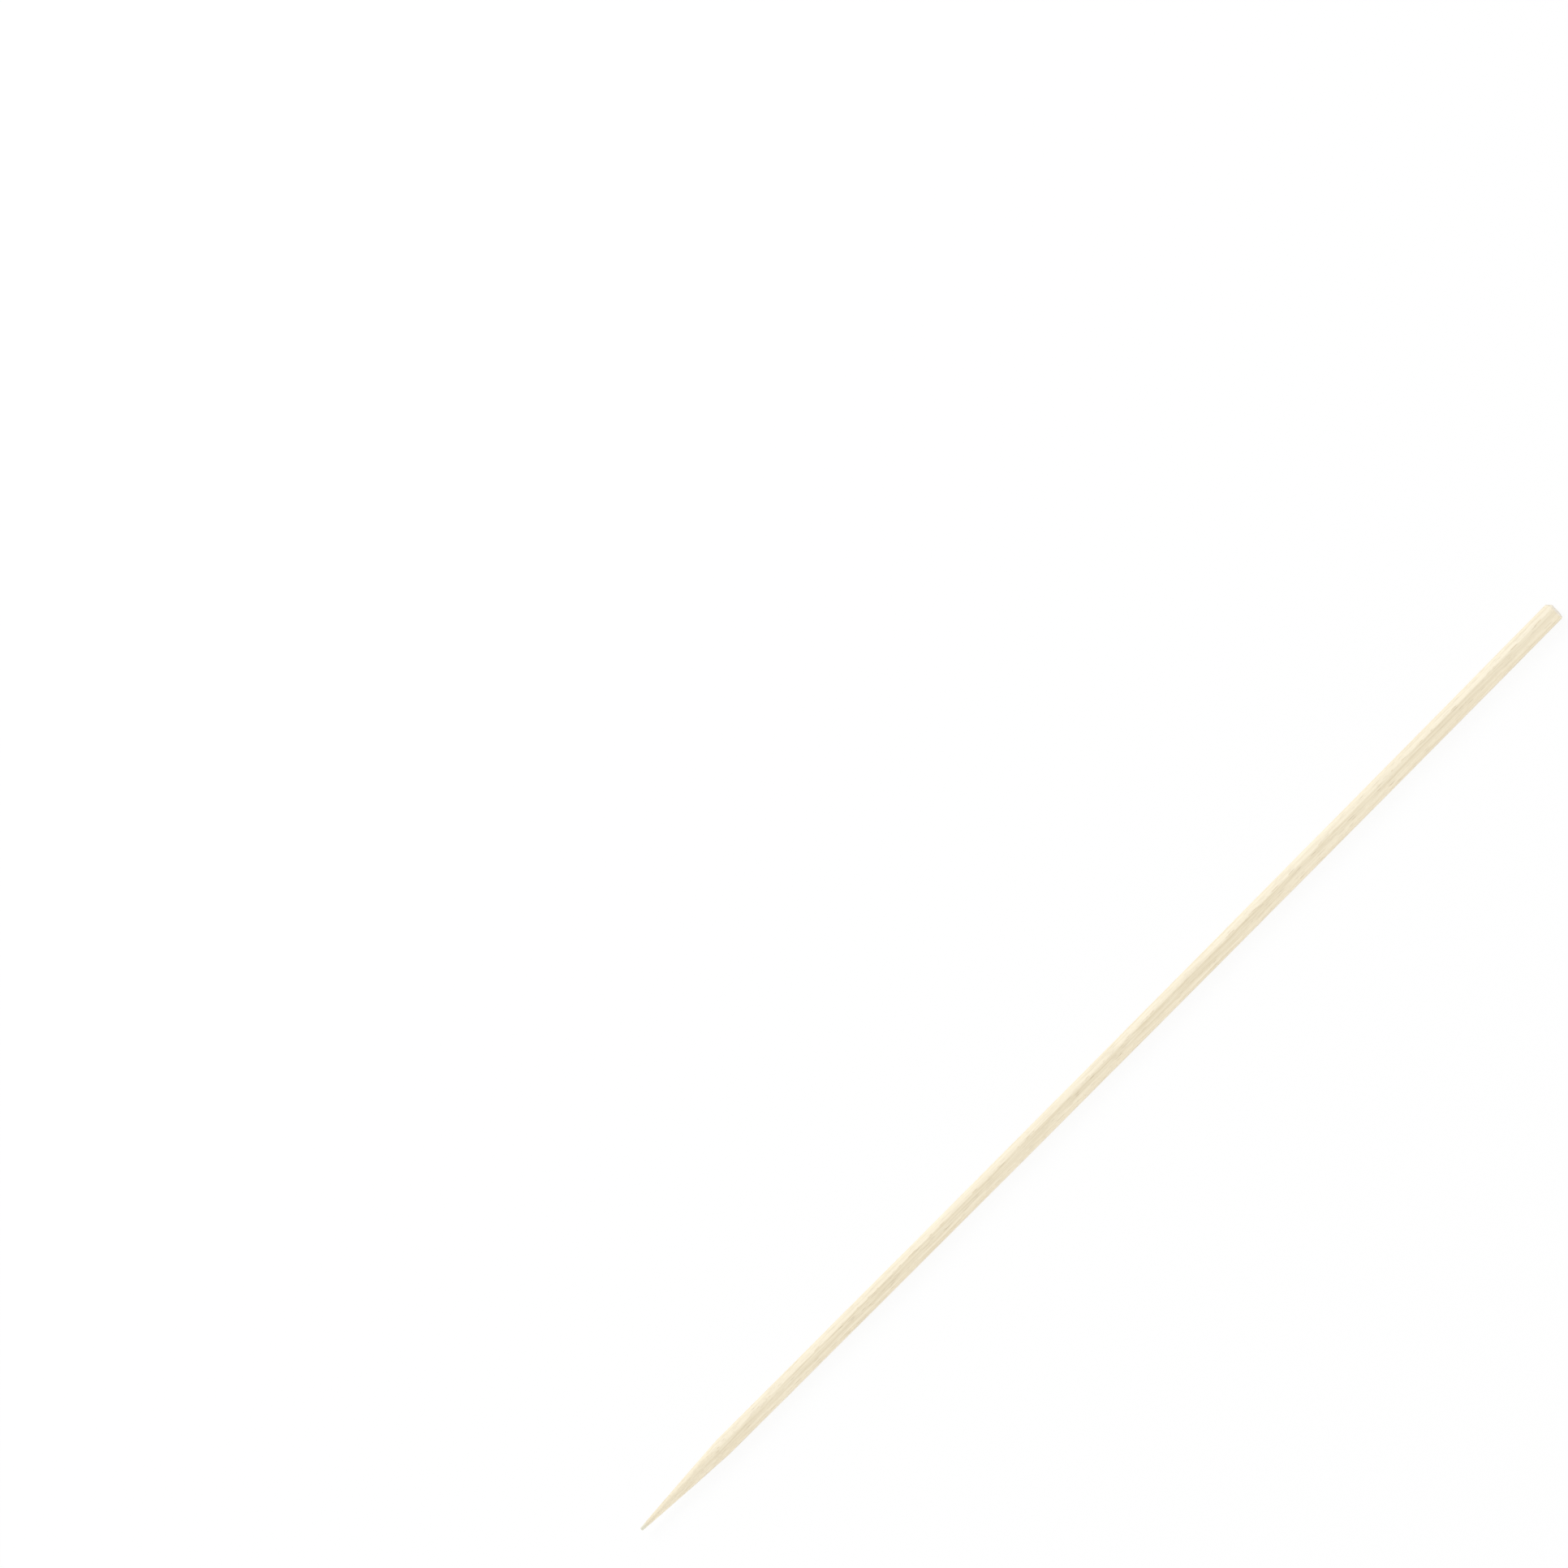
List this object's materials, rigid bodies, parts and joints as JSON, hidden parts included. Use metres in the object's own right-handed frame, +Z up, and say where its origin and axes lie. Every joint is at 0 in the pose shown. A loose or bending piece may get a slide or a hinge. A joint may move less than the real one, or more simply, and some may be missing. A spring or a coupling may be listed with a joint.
{
  "type": "bamboo skewer",
  "caption": "Slim round bamboo stick with a ground, slightly blunted point at one end and a square sawn butt at the other, lying on its side.",
  "frame": {"origin": "on the floor under the middle of the stick as it lies on its lower flat side", "axes": "+X along the stick from the point to the butt, +Z up, out of the upper flat side, +Y sideways"},
  "size_m": [0.2, 0.0032, 0.0029],
  "materials": {
    "bamboo": "matte"
  },
  "bodies": {
    "root": {"skewer": "bamboo"}
  },
  "joints": []
}
